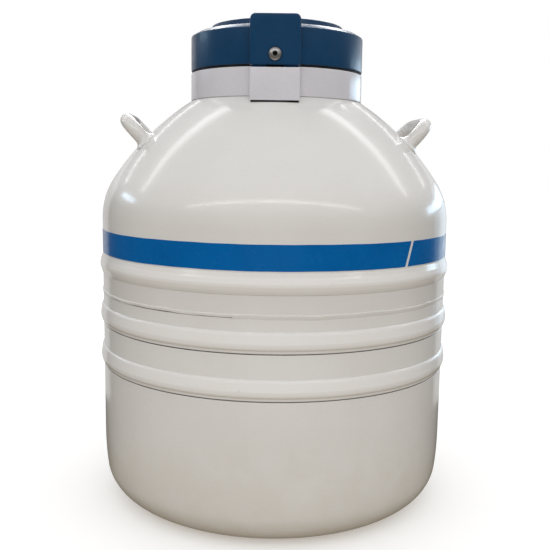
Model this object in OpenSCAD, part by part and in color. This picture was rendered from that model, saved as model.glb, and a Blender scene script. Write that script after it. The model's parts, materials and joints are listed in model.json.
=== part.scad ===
// Aluminium liquid nitrogen storage dewar with a lift-off lid and six hanging canisters.
// Millimetres, +Z up. The origin is on the surface the vessel stands on, under its axis.
// The lock block on the lid faces -Y.

/* [Outer shell] */
// Outside radius of the plain cylindrical wall
wall_r = 250; // [248:0.5:252]
// Sheet thickness of the outer shell
shell_t = 3; // [2.5:0.25:3.5]
// Height where the wall turns into the shoulder
shoulder_z = 403; // [401:0.5:404]
// Radius of the turn between wall and shoulder
knuckle_r = 100; // [98:1:102]
// How far that turn goes, in degrees
knuckle_turn = 33; // [32:0.5:34]
// Radius of the long curve of the shoulder
crown_r = 377; // [373:1:381]
// Radius of the turn at the foot
foot_r = 52; // [48:1:56]
// Depth of the recess under the base
base_recess = 5; // [3:0.5:7]
// Height of the weld that joins the two shells
seam_z = 300; // [297:1:303]
// Height of each stiffening rib
rib_h = 27; // [24:0.5:28]
// How far a rib stands out from the wall
rib_out = 4; // [3:0.25:5]
// Middle of the lowest rib
rib_low_z = 209.5; // [206:0.5:213]
// Middle of the second rib
rib_mid_z = 268.5; // [265:0.5:272]
// Middle of the upper rib
rib_top_z = 340; // [338:0.5:341]

/* [Stripe] */
// Height of the lower edge of the coloured stripe
stripe_z = 355.5; // [355:0.5:358]
// Width of the stripe
stripe_h = 32; // [26:1:36]
// Thickness of the stripe's film
stripe_t = 0.25; // [0.2:0.05:0.4]
// Width of the gap where the stripe's two ends meet
stripe_gap = 5; // [2:0.5:8]

/* [Handles] */
// Radius of the handle bar
bar_r = 10; // [9:0.25:11]
// Distance between the two legs of a handle
leg_gap = 115; // [105:1:125]
// Length of a leg, from its foot to the middle of the cross bar
leg_reach = 39.5; // [36:0.5:46]
// Bend radius of the bar's centre line
bend_r = 25; // [20:1:28]
// Slope of the legs above level, in degrees
leg_slope = 47; // [44:1:52]
// Turn of the pair of handles about the vessel's axis, in degrees
handle_turn = 4.5; // [0:0.5:6]

/* [Neck] */
// Radius of the bore of the neck
neck_r = 63.5; // [63:0.25:64]
// Wall thickness of the neck tube
neck_t = 2; // [1.5:0.25:2]
// Height of the top of the neck tube
neck_top_z = 600; // [598:0.5:600]
// Outside radius of the inner vessel
vessel_r = 213; // [210:0.5:215]
// Sheet thickness of the inner vessel
vessel_t = 2; // [1.5:0.25:2.5]
// Height of the outside of the inner vessel's floor
vessel_z = 40; // [38:0.5:40]

/* [Canisters] */
// Outside radius of a canister
can_r = 50.5; // [48:0.5:50.5]
// Height of a canister
can_h = 279; // [260:1:282]
// Radius of the wire that a canister hangs from
rod_r = 1.5; // [1.25:0.25:1.5]

/* [Collar and lid] */
// Outside radius of the collar and the lid
collar_r = 122.7; // [122:0.1:123.5]
// Height of the top of the collar
collar_z = 607.3; // [607:0.1:607.5]
// Wall thickness of the collar and the lid
mould_t = 3.5; // [3:0.25:4]
// Height of the lower edge of the lid
lid_z = 609.4; // [609.2:0.1:610]
// Height where the lid's side wall ends
lid_edge_z = 657.4; // [656.5:0.1:658]
// Radius of the raised middle of the lid
dome_r = 93.5; // [90:0.5:96]
// Height of the top of the lid
lid_top_z = 674; // [672:0.5:676]
// Width of the lock block and of the tab below it
lock_w = 65.2; // [62:0.2:68]
// Distance from the axis to the face of the lock block
lock_y = 134; // [133:0.25:135]

/* [Hidden] */
$fn = 96;

ENAMEL = [0.86, 0.85, 0.83];
BLUE = [0.02, 0.35, 0.58];
LID_BLUE = [0.12, 0.25, 0.37];
LAVENDER = [0.73, 0.72, 0.75];
TAG_COLOURS = ["crimson", "gold", "seagreen", "royalblue", "white", "darkorange"];

// small gap kept between pieces that move against each other
free_gap = 0.3;
// overshoot of a cutter past the face that it cuts through
past = 1;

// foot: a slight taper in the wall, then the corner
taper_r = 480;
taper_turn = 6;
stand_r = 150;
recess_run = 8;
taper_z = foot_r * (1 - sin(taper_turn)) + taper_r * sin(taper_turn);
taper_c = [wall_r - taper_r, taper_z];
foot_c = taper_c + (taper_r - foot_r) * [cos(taper_turn), -sin(taper_turn)];

// shoulder: centre of the crown's arc
crown_c = [wall_r - knuckle_r, shoulder_z]
    + (knuckle_r - crown_r) * [cos(knuckle_turn), sin(knuckle_turn)];

// where the two ends of the stripe meet, and how far that joint leans from upright
joint_at = -45.8;
joint_lean = 19;

// handles: where a leg's foot stands, and the weld round it
handle_foot_at = 192.5;
handle_weld = 6;
handle_root = 30;

// girth weld
weld_h = 4;
weld_out = 0.7;
weld_root = 1;

// neck ring, where the shell, the neck tube and the collar meet
neck_out_r = neck_r + neck_t;
ring_r = 100;
ring_low_z = 574;
ring_top_z = 586;

// inner vessel
vessel_foot_r = 45;
head_z = 305;
head_knuckle_r = 80;
head_turn = 45;
head_crown_r = 330;
head_c = [vessel_r - head_knuckle_r, head_z]
    + (head_knuckle_r - head_crown_r) * [cos(head_turn), sin(head_turn)];
inner_ring_r = 82;
inner_ring_low_z = 428;
inner_ring_top_z = 442;
blanket_gap = 0.3;
blanket_t = 14;
blanket_hole_r = 86;
pack_r = 80;
pack_h = 24;

// canister places
can_count = 6;
first_can = 30;
can_t = 1;
rod_at = neck_r - free_gap - rod_r;
can_at = rod_at + rod_r + free_gap + can_r;
spider_z = vessel_z + vessel_t;
spider_t = 3;
seat_h = 10;
seat_t = 1.8;
seat_play = 0.7;
spider_hole_r = 40;
drain_r = 20;
can_hole_r = 4;
can_hole_at = 28;
can_z = spider_z + spider_t + free_gap + 0.1;
strap_w = 8;
strap_h = 12;
strap_from_end = 20;
hook_r = 8;
hook_z = neck_top_z - 0.8;
tag_r = 4;
tag_z = 590;
tag_h = 9;

// index ring round the neck's mouth
index_in_r = neck_out_r + 0.1;
index_out_r = 71.6;
index_top_z = 610;
notch_z = 603.8;
notch_w = 4.2;

// collar
flange_t = 3;
well_r = 88;
flange_in_r = 72;
skirt_gap = 0.3;
tab_low_z = 562.6;
tab_top_z = 605;
tab_clear = 0.8;
tab_t = 3;
tab_root_y = -110;
slot_play = 0.5;
collar_screw_at = 80;
collar_screw_r = 2.5;
collar_head_r = 4.5;
collar_head_h = 3;

// lid
lid_in_r = collar_r - mould_t;
chamfer_in = 9.2;
chamfer_up = 5.6;
deck_z = lid_edge_z + chamfer_up;
dome_round = 3.2;
plate_r = 105;
plate_t = 4.5;
plug_r = 58.5;
plug_low_z = 470;
plug_bevel = 5;
plate_hole_r = 20;
plate_screw_r = 2;
plate_head_r = 3.8;
plate_head_h = 2.5;
gasket_w = 6.7;
gasket_z = collar_z + free_gap;
gasket_h = 6.4;
plate_screw_at = 98;

// lock block on the lid
block_low_z = 607.9;
block_top_z = 672;
block_corner = 7;
block_back = 108;
tongue_w = 24;
tongue_t = 3;
tongue_low_z = 572;
tongue_top_z = 640;
lock_face_t = 4;
lock_screw_z = 621.3;
lock_screw_r = 5;
lock_head_r = 8.5;
lock_head_h = 5.2;
lock_head_rim = 1;
lock_play = 0.25;
socket_depth = 3.4;
lock_nut_t = 5;
lock_nut_af = 16;
socket_af = 6;

// evacuation port on the back of the shoulder
port_at = 190;
port_slope = acos((port_at - crown_c[0]) / crown_r);
boss_r = 14;
boss_up = 12;
boss_bore_r = 9;
boss_root = 6;
plug_root = 4;
plug_up = 10;
pull_hole_r = 3;
seal_in_r = 7.5;
seal_h = 2.4;
cap_t = 3;
cap_skirt_z = 1.5;

function arc(c, r, a0, a1, n) =
    [for (i = [0:n]) let (a = a0 + (a1 - a0) * i / n) c + r * [cos(a), sin(a)]];
function back(v) = [for (i = [len(v) - 1:-1:0]) v[i]];

// A rolled bead of height h standing s out of a wall of radius r, on a skin t inside it
function bead(r, z, h, s, t) =
    let (big = (h * h / 4 + s * s) / (2 * s), small = big - t,
         half = asin(sqrt(s * (2 * small - s)) / small))
    arc([r + s - big, z], small, -half, half, 10);

// Outlines of the outer shell, t inside its outer surface
function foot_line(t) = concat(
    [[0, base_recess + t], [stand_r - recess_run, base_recess + t], [stand_r, t]],
    arc(foot_c, foot_r - t, -90, -taper_turn, 14),
    arc(taper_c, taper_r - t, -taper_turn, 0, 4));
function lower_line(t) = concat(foot_line(t),
    bead(wall_r, rib_low_z, rib_h, rib_out, t),
    bead(wall_r, rib_mid_z, rib_h, rib_out, t));
function crown_line(t, r_end) = concat(
    arc([wall_r - knuckle_r, shoulder_z], knuckle_r - t, 0, knuckle_turn, 8),
    arc(crown_c, crown_r - t, knuckle_turn, acos((r_end - crown_c[0]) / (crown_r - t)), 14));
function upper_line(t, r_end) =
    concat(bead(wall_r, rib_top_z, rib_h, rib_out, t), crown_line(t, r_end));
// Height of the shoulder's surface at radius r
function crown_z(r) = crown_c[1] + sqrt(crown_r * crown_r - pow(r - crown_c[0], 2));

// Outlines of the inner vessel, t inside its outer surface
function vessel_low_line(t) =
    arc([vessel_r - vessel_foot_r, vessel_z + vessel_foot_r], vessel_foot_r - t, -90, 0, 8);
function vessel_head_line(t, r_end) = concat(
    arc([vessel_r - head_knuckle_r, head_z], head_knuckle_r - t, 0, head_turn, 8),
    arc(head_c, head_crown_r - t, head_turn,
        acos((r_end - head_c[0]) / (head_crown_r - t)), 12));

module turned(points) rotate_extrude() polygon(points);
module tube(r_in, r_out, z_low, z_top) translate([0, 0, z_low]) difference() {
    cylinder(r = r_out, h = z_top - z_low);
    translate([0, 0, -past]) cylinder(r = r_in, h = z_top - z_low + 2 * past);
}
module slab(x0, x1, y0, y1, z0, z1) translate([x0, y0, z0]) cube([x1 - x0, y1 - y0, z1 - z0]);
module around(count, first = 0) for (i = [0:count - 1]) rotate(first + i * 360 / count) children();

// Everything inside the shoulder's surface, grown outwards by gap
module shoulder_solid(gap = 0)
    turned(concat([[0, seam_z], [wall_r + gap, seam_z]],
        crown_line(-gap, ring_r), [[0, crown_z(ring_r)]]));

// ---- outer shell ----

module outer_shell_lower() color(ENAMEL) turned(concat(
    lower_line(0),
    [[wall_r, seam_z - weld_h / 2], [wall_r - shell_t + weld_root, seam_z], [wall_r - shell_t, seam_z]],
    back(lower_line(shell_t))));

module outer_shell_upper() color(ENAMEL) difference() {
    turned(concat(
        [[wall_r - shell_t, seam_z], [wall_r - shell_t + weld_root, seam_z],
         [wall_r, seam_z + weld_h / 2]],
        upper_line(0, ring_r), back(upper_line(shell_t, ring_r))));
    at_port() translate([0, 0, -2 * boss_r]) cylinder(r = boss_r, h = 4 * boss_r);
}

module girth_weld() color(ENAMEL) turned(concat([[wall_r - shell_t + weld_root, seam_z]],
    bead(wall_r, seam_z, weld_h, weld_out, 0)));

module stripe_band() color(BLUE) difference() {
    tube(wall_r, wall_r + stripe_t, stripe_z, stripe_z + stripe_h);
    rotate(joint_at) translate([wall_r, 0, stripe_z + stripe_h / 2]) rotate([-joint_lean, 0, 0])
        cube([stripe_h, stripe_gap, stripe_h * 2], center = true);
}

// ---- handles ----

module handle_bar() {
    for (side = [0, 1]) mirror([0, side, 0]) {
        translate([0, leg_gap / 2, -handle_root])
            cylinder(r = bar_r, h = handle_root + leg_reach - bend_r);
        translate([0, leg_gap / 2, -handle_weld])
            cylinder(r1 = bar_r + handle_weld, r2 = bar_r, h = 2 * handle_weld);
        translate([0, leg_gap / 2 - bend_r, leg_reach - bend_r]) rotate([90, 0, 90])
            rotate_extrude(angle = 90) translate([bend_r, 0]) circle(bar_r);
    }
    translate([0, bend_r - leg_gap / 2, leg_reach]) rotate([-90, 0, 0])
        cylinder(r = bar_r, h = leg_gap - 2 * bend_r);
}
module handle() color(ENAMEL) {
    foot_x = sqrt(pow(handle_foot_at, 2) - leg_gap * leg_gap / 4);
    difference() {
        translate([foot_x, 0, crown_z(handle_foot_at)]) rotate([0, 90 - leg_slope, 0]) handle_bar();
        shoulder_solid();
    }
}
module handle_right() rotate(handle_turn) handle();
module handle_left() rotate(180 + handle_turn) handle();

// ---- neck ----

module neck_ring() color("silver") tube(neck_out_r, ring_r, ring_low_z, ring_top_z);
module neck_tube() color("tan") tube(neck_r, neck_out_r, inner_ring_low_z, neck_top_z);
module inner_neck_ring() color("silver")
    tube(neck_out_r, inner_ring_r, inner_ring_low_z, inner_ring_top_z);

module inner_vessel_floor() color("lightgray") translate([0, 0, vessel_z])
    cylinder(r = vessel_r - vessel_foot_r, h = vessel_t);
module inner_vessel_body() color("lightgray") turned(concat(
    vessel_low_line(0), [[vessel_r, head_z], [vessel_r - vessel_t, head_z]],
    back(vessel_low_line(vessel_t))));
module inner_vessel_head() color("lightgray") turned(concat(
    vessel_head_line(0, inner_ring_r), back(vessel_head_line(vessel_t, inner_ring_r))));
module insulation_blanket() color("gainsboro") turned(concat(
    [[0, vessel_z - blanket_gap - blanket_t]], vessel_low_line(-blanket_gap - blanket_t),
    vessel_head_line(-blanket_gap - blanket_t, blanket_hole_r),
    back(vessel_head_line(-blanket_gap, blanket_hole_r)), back(vessel_low_line(-blanket_gap)),
    [[0, vessel_z - blanket_gap]]));
module adsorbent_pack() color("ivory")
    tube(neck_out_r, pack_r, inner_ring_top_z, inner_ring_top_z + pack_h);

// ---- canisters ----

module at_canister(k) rotate(first_can + (k - 1) * 360 / can_count) children();

module canister_spider() color("whitesmoke") {
    difference() {
        translate([0, 0, spider_z]) cylinder(r = vessel_r - vessel_foot_r, h = spider_t);
        translate([0, 0, spider_z - past]) cylinder(r = spider_hole_r, h = spider_t + 2 * past);
        around(can_count, first_can) translate([can_at, 0, spider_z - past])
            cylinder(r = drain_r, h = spider_t + 2 * past);
    }
    around(can_count, first_can) translate([can_at, 0, 0]) tube(can_r + seat_play,
        can_r + seat_play + seat_t, spider_z + spider_t, spider_z + spider_t + seat_h);
}

module canister(k) color("silver") at_canister(k) translate([can_at, 0, can_z]) difference() {
    cylinder(r = can_r, h = can_h);
    translate([0, 0, can_t]) cylinder(r = can_r - can_t, h = can_h);
    translate([0, 0, -past]) cylinder(r = can_hole_r, h = can_t + 2 * past);
    around(6) translate([can_hole_at, 0, -past]) cylinder(r = can_hole_r, h = can_t + 2 * past);
}

module hook_rod(k) color("silver") at_canister(k) {
    rod_low_z = can_z + strap_from_end - 4;
    translate([rod_at, 0, rod_low_z]) cylinder(r = rod_r, h = hook_z - rod_low_z, $fn = 24);
    translate([rod_at + hook_r, 0, hook_z]) rotate([90, 0, 0]) rotate_extrude(angle = 180, $fn = 48)
        translate([hook_r, 0]) circle(rod_r, $fn = 24);
    translate([rod_at + 2 * hook_r, 0, tag_z + 1])
        cylinder(r = rod_r, h = hook_z - tag_z - 1, $fn = 24);
    difference() {
        for (z = [can_z + strap_from_end, can_z + can_h - strap_from_end - strap_h])
            slab(rod_at - rod_r, rod_at + 3, -strap_w / 2, strap_w / 2, z, z + strap_h);
        translate([can_at, 0, can_z]) cylinder(r = can_r, h = can_h);
    }
}

module hook_tag(k) color(TAG_COLOURS[k - 1]) at_canister(k) translate([rod_at + 2 * hook_r, 0, tag_z])
    difference() {
        cylinder(r = tag_r, h = tag_h, $fn = 32);
        translate([0, 0, 1]) cylinder(r = rod_r, h = tag_h, $fn = 24);
    }

module index_ring() color("white") difference() {
    tube(index_in_r, index_out_r, ring_top_z, index_top_z);
    around(can_count, first_can) slab(neck_r, index_out_r + past, -notch_w / 2, notch_w / 2,
        notch_z, index_top_z + past);
}

// ---- collar ----

module collar() color(LAVENDER) {
    skirt_in = collar_r - mould_t;
    difference() {
        turned([
            [flange_in_r, ring_top_z], [well_r + mould_t, ring_top_z],
            [well_r + mould_t, collar_z - mould_t], [skirt_in, collar_z - mould_t],
            [skirt_in, crown_z(skirt_in) + skirt_gap], [collar_r, crown_z(collar_r) + skirt_gap],
            [collar_r, collar_z - 1], [collar_r - 1, collar_z], [well_r, collar_z],
            [well_r, ring_top_z + flange_t], [flange_in_r, ring_top_z + flange_t]]);
        around(3) translate([collar_screw_at, 0, ring_top_z - past])
            cylinder(r = collar_screw_r, h = flange_t + 2 * past, $fn = 24);
    }
    difference() {
        slab(-lock_w / 2, lock_w / 2, -lock_y, tab_root_y, tab_low_z, tab_top_z);
        cylinder(r = skirt_in + 1, h = collar_z);
        shoulder_solid(tab_clear);
        difference() {
            slab(tab_t - lock_w / 2, lock_w / 2 - tab_t, tab_t - lock_y, tab_root_y,
                tab_low_z - past, tab_top_z - tab_t);
            cylinder(r = collar_r, h = collar_z);
        }
        slab(-tongue_w / 2 - slot_play, tongue_w / 2 + slot_play,
            lock_face_t - lock_y - slot_play, lock_face_t + tongue_t - lock_y + slot_play,
            tab_top_z - tab_t - past, tab_top_z + past);
    }
}
module collar_screws() color("silver") around(3) translate([collar_screw_at, 0, ring_top_z])
    difference() {
        union() {
            translate([0, 0, flange_t]) cylinder(r = collar_head_r, h = collar_head_h);
            cylinder(r = collar_screw_r, h = flange_t, $fn = 24);
        }
        translate([0, 0, flange_t + 1]) cylinder(r = 1.7, h = collar_head_h, $fn = 6);
    }

// ---- evacuation port ----

module at_port() translate([0, port_at, crown_z(port_at)]) rotate([port_slope - 90, 0, 0]) children();
module port_boss() color(ENAMEL) at_port() tube(boss_bore_r, boss_r, -boss_root, boss_up);
module port_plug() color("goldenrod") at_port() difference() {
    translate([0, 0, -plug_root]) cylinder(r = boss_bore_r, h = plug_root + plug_up);
    tube(seal_in_r, boss_bore_r + past, 0, seal_h);
    translate([0, 0, plug_up - 3]) cylinder(r = pull_hole_r, h = 3 + past);
}
module port_seal() color("dimgray") at_port() tube(seal_in_r, boss_bore_r, 0, seal_h);
module port_cap() color(LAVENDER) at_port() difference() {
    translate([0, 0, cap_skirt_z]) cylinder(r = boss_r + cap_t, h = boss_up + cap_t - cap_skirt_z);
    cylinder(r = boss_r + free_gap, h = boss_up + free_gap);
}

// ---- lid ----

function lid_line(t) = [
    [collar_r - t, lid_z], [collar_r - t, lid_edge_z - t * 0.3],
    [collar_r - chamfer_in - t * 0.6, deck_z - t], [dome_r + 1.5 - t, deck_z - t],
    [dome_r - t, lid_top_z - dome_round - t], [dome_r - dome_round * 0.3 - t, lid_top_z - 1.4 - t],
    [dome_r - dome_round - t, lid_top_z - 0.6 - t], [0, lid_top_z - t]];

module lid_cover() color(LID_BLUE) difference() {
    union() {
        turned(concat(lid_line(0), back(lid_line(mould_t))));
        difference() {
            translate([0, -block_back, 0]) rotate([90, 0, 0]) linear_extrude(lock_y - block_back)
                lock_outline();
            translate([0, 0, block_low_z - past])
                cylinder(r = lid_in_r, h = deck_z - mould_t - block_low_z);
        }
    }
    slab(-tongue_w / 2 - 4, tongue_w / 2 + 4, lock_face_t - lock_y, past - collar_r,
        block_low_z - past, tongue_top_z + past);
    at_lock() translate([0, 0, -lock_face_t - past])
        cylinder(r = lock_screw_r + lock_play, h = lock_face_t + 2 * past);
    around(4, 45) translate([plate_screw_at, 0, deck_z - mould_t - past])
        cylinder(r = plate_screw_r, h = 2 + past, $fn = 24);
}
module lock_outline() hull() {
    for (s = [-1, 1]) translate([s * (lock_w / 2 - block_corner), block_top_z - block_corner])
        circle(block_corner, $fn = 32);
    translate([-lock_w / 2, block_low_z]) square([lock_w, block_corner]);
}
module lid_gasket() color("dimgray")
    tube(lid_in_r - gasket_w, lid_in_r, gasket_z, gasket_z + gasket_h);
module plug_plate() color("whitesmoke") difference() {
    tube(plate_hole_r, plate_r, deck_z - mould_t - plate_t, deck_z - mould_t);
    around(4, 45) translate([plate_screw_at, 0, deck_z - mould_t - plate_t - past])
        cylinder(r = plate_screw_r, h = plate_t + 2 * past, $fn = 24);
}
module plate_screws() color("silver") around(4, 45)
    translate([plate_screw_at, 0, deck_z - mould_t - plate_t]) {
        cylinder(r = plate_screw_r, h = plate_t + 2, $fn = 24);
        translate([0, 0, -plate_head_h]) cylinder(r = plate_head_r, h = plate_head_h, $fn = 32);
    }
module neck_plug() color("white") turned([
    [0, plug_low_z], [plug_r - plug_bevel, plug_low_z], [plug_r, plug_low_z + plug_bevel],
    [plug_r, deck_z - mould_t - plate_t], [0, deck_z - mould_t - plate_t]]);

// ---- lock ----

module at_lock() translate([0, -lock_y, lock_screw_z]) rotate([90, 0, 0]) children();
module lock_tongue() color("dimgray") difference() {
    slab(-tongue_w / 2, tongue_w / 2, lock_face_t - lock_y, lock_face_t + tongue_t - lock_y,
        tongue_low_z, tongue_top_z);
    at_lock() translate([0, 0, -lock_face_t - tongue_t - past])
        cylinder(r = lock_screw_r + lock_play, h = tongue_t + 2 * past);
}
module lock_screw() color("silver") at_lock() difference() {
    union() {
        turned(concat([[0, 0], [lock_head_r, 0]],
            [for (i = [0:8]) let (a = i * 90 / 8)
                [lock_head_r * pow(cos(a), 0.8), lock_head_rim + (lock_head_h - lock_head_rim) * sin(a)]]));
        translate([0, 0, -(lock_face_t + tongue_t + lock_nut_t)])
            cylinder(r = lock_screw_r, h = lock_face_t + tongue_t + lock_nut_t);
    }
    translate([0, 0, lock_head_h - socket_depth])
        cylinder(r = socket_af / sqrt(3), h = socket_depth + past, $fn = 6);
}
module lock_nut() color("silver") at_lock()
    translate([0, 0, -(lock_face_t + tongue_t + lock_nut_t)]) difference() {
        cylinder(r = lock_nut_af / sqrt(3), h = lock_nut_t, $fn = 6);
        translate([0, 0, -past]) cylinder(r = lock_screw_r, h = lock_nut_t + 2 * past);
    }

outer_shell_lower();
outer_shell_upper();
girth_weld();
stripe_band();
handle_left();
handle_right();
neck_ring();
neck_tube();
inner_neck_ring();
inner_vessel_floor();
inner_vessel_body();
inner_vessel_head();
insulation_blanket();
adsorbent_pack();
canister_spider();
index_ring();
collar();
collar_screws();
port_boss();
port_plug();
port_seal();
port_cap();
lid_cover();
lid_gasket();
plug_plate();
plate_screws();
neck_plug();
lock_tongue();
lock_screw();
lock_nut();
canister(1);  // canister_1
canister(2);  // canister_2
canister(3);  // canister_3
canister(4);  // canister_4
canister(5);  // canister_5
canister(6);  // canister_6
hook_rod(1);  // hook_rod_1
hook_rod(2);  // hook_rod_2
hook_rod(3);  // hook_rod_3
hook_rod(4);  // hook_rod_4
hook_rod(5);  // hook_rod_5
hook_rod(6);  // hook_rod_6
hook_tag(1);  // hook_tag_1
hook_tag(2);  // hook_tag_2
hook_tag(3);  // hook_tag_3
hook_tag(4);  // hook_tag_4
hook_tag(5);  // hook_tag_5
hook_tag(6);  // hook_tag_6
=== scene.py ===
import json
import math

import bmesh
import bpy
from mathutils import Matrix, Vector


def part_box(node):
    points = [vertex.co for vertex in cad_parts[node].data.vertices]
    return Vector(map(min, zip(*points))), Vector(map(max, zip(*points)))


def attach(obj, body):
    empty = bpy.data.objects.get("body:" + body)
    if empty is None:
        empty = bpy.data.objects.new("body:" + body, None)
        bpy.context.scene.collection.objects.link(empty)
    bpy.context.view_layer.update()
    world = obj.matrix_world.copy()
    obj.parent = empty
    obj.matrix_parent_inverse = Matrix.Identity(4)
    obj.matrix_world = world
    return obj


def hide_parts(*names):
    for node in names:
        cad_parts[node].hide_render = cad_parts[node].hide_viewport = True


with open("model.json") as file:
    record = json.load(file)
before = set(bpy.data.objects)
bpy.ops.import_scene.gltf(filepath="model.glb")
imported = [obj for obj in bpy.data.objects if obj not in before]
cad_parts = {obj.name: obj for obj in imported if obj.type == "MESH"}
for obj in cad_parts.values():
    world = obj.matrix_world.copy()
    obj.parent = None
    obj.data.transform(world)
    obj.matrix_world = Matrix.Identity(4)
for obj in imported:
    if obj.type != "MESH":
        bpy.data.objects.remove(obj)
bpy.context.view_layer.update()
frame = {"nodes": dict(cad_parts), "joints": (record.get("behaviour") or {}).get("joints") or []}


def pick(node, side, axis):
    """One number of a CAD node's box: side 0 is its low corner and 1 its high one."""
    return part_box(node)[side][axis]


# ---- driving dimensions, from the frame where it has them ----

RIB_OUT = 0.004
RIB_H = 0.027
WALL_R = pick("outer_shell_upper", 1, 0) - RIB_OUT
SHELL_T = 0.003
SEAM_Z = pick("outer_shell_upper", 0, 2)
RIB_MIDS = (0.2095, 0.2685, 0.340)
# the soft bevels that the two shells have at the seam
SEAM_BEVEL = 0.0022
SEAM_DEPTH = 0.0018
# how far each kind of rib softens its corners
ROLLED_SOFT = 0.004
FLAT_SOFT = 0.0022
# the ribs' outlines, from the lower edge up, as shares of a rib's height and of how far it stands
# out: the rolled ones turn under above a fine groove, the top one is flatter
RIB_ROLLED = [
    (-0.05, 0.00), (-0.03, -0.25), (0.00, -0.25), (0.012, 0.20), (0.11, 0.24), (0.15, 0.34),
    (0.195, 0.66), (0.27, 0.86), (0.36, 0.96), (0.46, 1.00), (0.84, 0.66), (0.93, 0.48),
    (0.985, 0.18), (1.00, 0.00),
]
RIB_FLAT = [(0.00, 0.00), (0.012, 0.20), (0.37, 0.96), (0.50, 1.00), (0.72, 0.66), (1.00, 0.00)]
SHOULDER_Z = 0.403
KNUCKLE_R = 0.100
KNUCKLE_TURN = 33
CROWN_R = 0.377
CROWN_C = (
    WALL_R - KNUCKLE_R + (KNUCKLE_R - CROWN_R) * math.cos(math.radians(KNUCKLE_TURN)),
    SHOULDER_Z + (KNUCKLE_R - CROWN_R) * math.sin(math.radians(KNUCKLE_TURN)),
)
RING_R = pick("neck_ring", 1, 0)
FOOT_R = 0.052
TAPER_R = 0.480
TAPER_TURN = 6
STAND_R = 0.150
RECESS = 0.005
RECESS_RUN = 0.008

COLLAR_R = pick("collar", 1, 0)
COLLAR_TOP = pick("collar", 1, 2)
COLLAR_LOW = pick("neck_ring", 1, 2)
MOULD_T = 0.0035
WELL_R = 0.088
# the flange at the collar's foot: its opening, its thickness and the circle of its screws
FLANGE_R = 0.072
FLANGE_T = 0.003
FLANGE_SCREWS = 0.080
LOCK_W = 0.0652
LOCK_Y = pick("collar", 0, 1)
TAB_LOW = pick("collar", 0, 2)
TAB_TOP = 0.605
LID_LOW = 0.6106
LID_EDGE = 0.6574
LID_TOP = pick("lid_cover", 1, 2)
DOME_R = 0.0935
CHAMFER_IN = 0.0092
CHAMFER_UP = 0.0056
DECK_Z = LID_EDGE + CHAMFER_UP
BLOCK_LOW = pick("lid_cover", 0, 2)
BLOCK_TOP = 0.672
BLOCK_BACK = -0.108
BLOCK_CORNER = 0.007
# the lock screw's shank, the hole it passes through, and the room round the lock tongue
SHANK_R = 0.005
SHANK_HOLE = 0.00525
TONGUE_PLAY = 0.0006
SCREW_Z = (pick("lock_screw", 0, 2) + pick("lock_screw", 1, 2)) / 2
LOCK_KEY = 0.006

BAR_R = 0.010
LEG_GAP = 0.115
LEG_REACH = 0.0395
BEND_R = 0.025
LEG_SLOPE = 47
HANDLE_TURN = 4.5
HANDLE_AT = 0.1925

CANS = range(1, 7)
TAG_COLOURS = {
    "tag_red": (0.45, 0.012, 0.016), "tag_yellow": (0.70, 0.36, 0.01),
    "tag_green": (0.01, 0.17, 0.035), "tag_blue": (0.012, 0.055, 0.32),
    "tag_white": (0.72, 0.72, 0.70), "tag_orange": (0.72, 0.13, 0.01),
}


# ---- outlines, in the plane of radius and height ----

def arc(centre, radius, start, end, steps):
    """Points along an arc; the angles are in degrees, counted from straight outwards."""
    turns = [math.radians(start + (end - start) * i / steps) for i in range(steps + 1)]
    return [(centre[0] + radius * math.cos(a), centre[1] + radius * math.sin(a)) for a in turns]


def rounded(points, radius, steps=4, closed=True, over=14):
    """The outline with each corner that turns more than over degrees replaced by an arc."""
    result = []
    count = len(points)
    for i, point in enumerate(points):
        if not closed and i in (0, count - 1):
            result.append(point)
            continue
        here = Vector(point)
        before, after = Vector(points[i - 1]) - here, Vector(points[(i + 1) % count]) - here
        if before.length < 1e-9 or after.length < 1e-9:
            continue
        bend = math.pi - before.angle(after)
        if math.degrees(bend) < over or here[0] < 1e-6:
            result.append(point)
            continue
        reach = min(radius * math.tan(bend / 2), 0.45 * before.length, 0.45 * after.length)
        start, end = here + before.normalized() * reach, here + after.normalized() * reach
        for k in range(steps + 1):
            t = k / steps
            result.append(tuple(start * (1 - t) ** 2 + here * 2 * t * (1 - t) + end * t * t))
    return result


def crown_z(radius):
    """Height of the shoulder's surface at this radius."""
    return CROWN_C[1] + math.sqrt(CROWN_R ** 2 - (radius - CROWN_C[0]) ** 2)


def rib(middle, outline, soft):
    """A rib round the wall, with its corners softened to a radius of about soft."""
    points = [(WALL_R + RIB_OUT * out, middle + (up - 0.5) * RIB_H) for up, out in outline]
    return rounded(points, soft, 5, closed=False, over=2)


# ---- mesh tools ----

# an edge that turns more than this many degrees is shaded crisp
SHARP_TURN = 38


def finished(mesh):
    """Recalculated normals and smooth shading, with the edges over SHARP_TURN kept crisp."""
    work = bmesh.new()
    work.from_mesh(mesh)
    bmesh.ops.remove_doubles(work, verts=work.verts, dist=2e-6)
    bmesh.ops.dissolve_degenerate(work, edges=work.edges, dist=1e-6)
    bmesh.ops.recalc_face_normals(work, faces=work.faces)
    work.to_mesh(mesh)
    work.free()
    mesh.polygons.foreach_set("use_smooth", [True] * len(mesh.polygons))
    mesh.set_sharp_from_angle(angle=math.radians(SHARP_TURN))
    mesh.update()


def shape(name, corners, faces):
    mesh = bpy.data.meshes.new(name)
    mesh.from_pydata([tuple(c) for c in corners], [], faces)
    finished(mesh)
    thing = bpy.data.objects.new(name, mesh)
    bpy.context.scene.collection.objects.link(thing)
    return thing


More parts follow.
